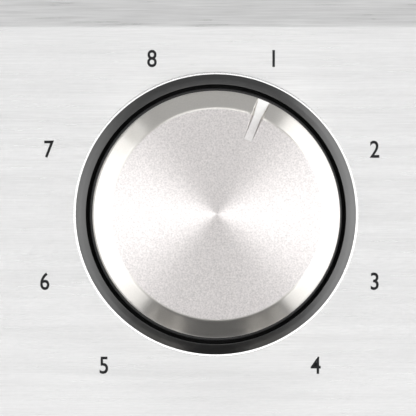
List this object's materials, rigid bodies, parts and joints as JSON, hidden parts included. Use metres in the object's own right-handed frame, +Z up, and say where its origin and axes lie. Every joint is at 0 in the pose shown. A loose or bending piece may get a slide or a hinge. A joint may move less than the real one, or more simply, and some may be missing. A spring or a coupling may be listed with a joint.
{
  "type": "countertop oven",
  "caption": "Compact electric countertop oven with a drop-down glass door, wire rack, crumb tray and a control column with a large selector knob, small knobs and push buttons.",
  "frame": {"origin": "on the surface that the oven stands on, under the middle of its outside box", "axes": "+X to the right seen from the front, +Y towards the back, +Z up"},
  "size_m": [0.42, 0.365, 0.25],
  "materials": {
    "casing_steel": "brushed from front to back",
    "panel_steel": "finely brushed from side to side",
    "zinc_sheet": "zinc coated sheet",
    "cavity_steel": "aluminised sheet",
    "rack_wire": "bright plated wire",
    "element_steel": "heat darkened steel",
    "ceramic": "unglazed",
    "window_glass": "clear toughened",
    "display_glass": "gloss dark window",
    "silicone": "matte",
    "bright_screw": "zinc plated",
    "handle_metal": "satin",
    "black_plastic": "satin moulded",
    "knob_metal": "turned face, polished bevel",
    "pointer_white": "white inlay",
    "bright_trim": "polished",
    "circuit_board": "solder resist"
  },
  "bodies": {
    "casing": {"back_panel": "zinc_sheet", "base_plate": "zinc_sheet", "bezel_trim": "bright_trim", "board_spacers": "circuit_board", "button_switches": "black_plastic", "cable_gland": "black_plastic", "casing_screws": "bright_screw", "cavity_liner": "cavity_steel", "control_board": "circuit_board", "control_housing": "black_plastic", "control_plate": "panel_steel", "display_module": "black_plastic", "display_window": "display_glass", "door_bumpers": "silicone", "element_insulators": "ceramic", "encoder_nuts": "bright_trim", "front_frame": "casing_steel", "heat_shield": "zinc_sheet", "hinge_brackets": "zinc_sheet", "knob_bezel": "black_plastic", "lower_elements": "element_steel", "outer_shell": "casing_steel", "power_board": "circuit_board", "rack_guides": "cavity_steel", "rear_spacers": "black_plastic", "relays": "black_plastic", "rotary_encoders": "black_plastic", "rubber_feet": "silicone", "small_knob_bezels": "black_plastic", "temperature_probe": "element_steel", "thermal_fuse": "bright_screw", "transformer": "bright_screw", "tray_runners": "zinc_sheet", "upper_elements": "element_steel"},
    "door": {"door_frame": "panel_steel", "door_inner_frame": "cavity_steel", "door_glass": "window_glass", "glass_seal": "silicone", "handle_bar": "handle_metal", "handle_posts": "handle_metal", "handle_screws": "bright_screw", "hinge_blocks": "bright_screw", "hinge_pins": "bright_screw", "door_springs": "bright_screw", "door_magnets": "bright_screw"},
    "rack": {"wire_rack": "rack_wire"},
    "tray": {"crumb_tray": "zinc_sheet", "tray_front": "panel_steel"},
    "function_knob": {"knob_cap": "knob_metal", "knob_pointer": "pointer_white", "knob_core": "black_plastic", "knob_shaft": "bright_trim"},
    "temperature_knob": {"temperature_knob": "knob_metal", "temperature_shaft": "bright_trim"},
    "time_knob": {"time_knob": "knob_metal", "time_shaft": "bright_trim"},
    "start_button": {"start_button": "knob_metal"},
    "cancel_button": {"cancel_button": "knob_metal"}
  },
  "joints": [
    {"name": "door_hinge", "type": "hinge", "parent": "casing", "child": "door", "pos_m": [-0.05, -0.1375, 0.052], "axis": [1, 0, 0], "range_deg": [0, 90], "stiffness_Nm_per_rad": 0.18, "springref_deg": -57.3},
    {"name": "rack_slide", "type": "slide", "parent": "casing", "child": "rack", "axis": [0, -1, 0], "range_m": [0, 0.0945]},
    {"name": "tray_slide", "type": "slide", "parent": "casing", "child": "tray", "axis": [0, -1, 0], "range_m": [0, 0.15]},
    {"name": "function_turn", "type": "hinge", "parent": "casing", "child": "function_knob", "pos_m": [0.16, -0.1435, 0.1368], "axis": [0, 1, 0], "continuous": true},
    {"name": "temperature_turn", "type": "hinge", "parent": "casing", "child": "temperature_knob", "pos_m": [0.136, -0.1435, 0.082], "axis": [0, 1, 0], "continuous": true},
    {"name": "time_turn", "type": "hinge", "parent": "casing", "child": "time_knob", "pos_m": [0.184, -0.1435, 0.082], "axis": [0, 1, 0], "continuous": true},
    {"name": "start_press", "type": "slide", "parent": "casing", "child": "start_button", "axis": [0, 1, 0], "range_m": [0, 0.0015], "stiffness_N_per_m": 500, "springref_m": -0.0015},
    {"name": "cancel_press", "type": "slide", "parent": "casing", "child": "cancel_button", "axis": [0, 1, 0], "range_m": [0, 0.0015], "stiffness_N_per_m": 500, "springref_m": -0.0015}
  ],
  "couplings": [
    {"joint": "rack_slide", "follows": "door_hinge", "m_per_rad": 0.06}
  ]
}
